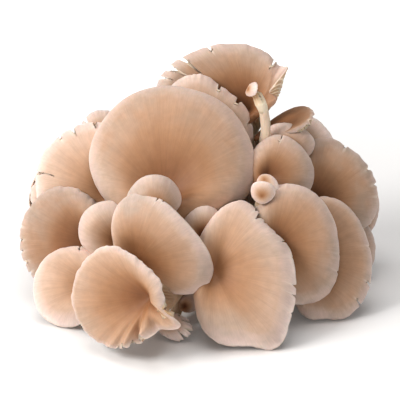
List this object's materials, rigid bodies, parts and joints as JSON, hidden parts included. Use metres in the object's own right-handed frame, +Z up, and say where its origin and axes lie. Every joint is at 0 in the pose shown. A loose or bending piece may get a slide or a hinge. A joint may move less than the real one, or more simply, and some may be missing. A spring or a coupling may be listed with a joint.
{
  "type": "oyster mushroom cluster",
  "caption": "Cluster of oyster mushrooms: fan shaped caps with gills beneath, on stems grown together in one base that is cut flat, so the cluster stands free",
  "frame": {"origin": "centre of the flat cut under the base", "axes": "+Z up, the front of the cluster faces -Y, +X to the right as seen from the front"},
  "size_m": [0.1841, 0.1682, 0.1153],
  "materials": {
    "cap_skin": "smooth matt skin with fine radial fibres, tan with a paler margin and a brown heart, and cream gills below",
    "stem_flesh": "matt cream flesh with fine fibres along each stem"
  },
  "bodies": {
    "root": {"base_and_stems": "stem_flesh", "cap_big": "cap_skin", "cap_top": "cap_skin", "cap_behind_big": "cap_skin", "cap_front": "cap_skin", "cap_curled": "cap_skin", "cap_low_left": "cap_skin", "cap_left": "cap_skin", "cap_centre": "cap_skin", "cap_centre_left": "cap_skin", "cap_lobe": "cap_skin", "cap_small_centre": "cap_skin", "cap_mid_right": "cap_skin", "cap_right": "cap_skin", "cap_upper_right": "cap_skin", "cap_fold": "cap_skin", "cap_upper_left": "cap_skin", "cap_dark": "cap_skin", "cap_right_of_dark": "cap_skin", "cap_pink": "cap_skin", "cap_far_right": "cap_skin", "cap_low_right": "cap_skin", "cap_left_lobe": "cap_skin", "cap_far_left": "cap_skin", "cap_young": "cap_skin", "cap_bud_upper": "cap_skin", "cap_bud_lower": "cap_skin", "cap_base_frill": "cap_skin", "cap_base_bud": "cap_skin", "cap_back_big": "cap_skin", "cap_back_right": "cap_skin", "cap_back_left": "cap_skin", "cap_back_low": "cap_skin", "cap_back_low_left": "cap_skin", "cap_back_low_right": "cap_skin"}
  },
  "joints": []
}
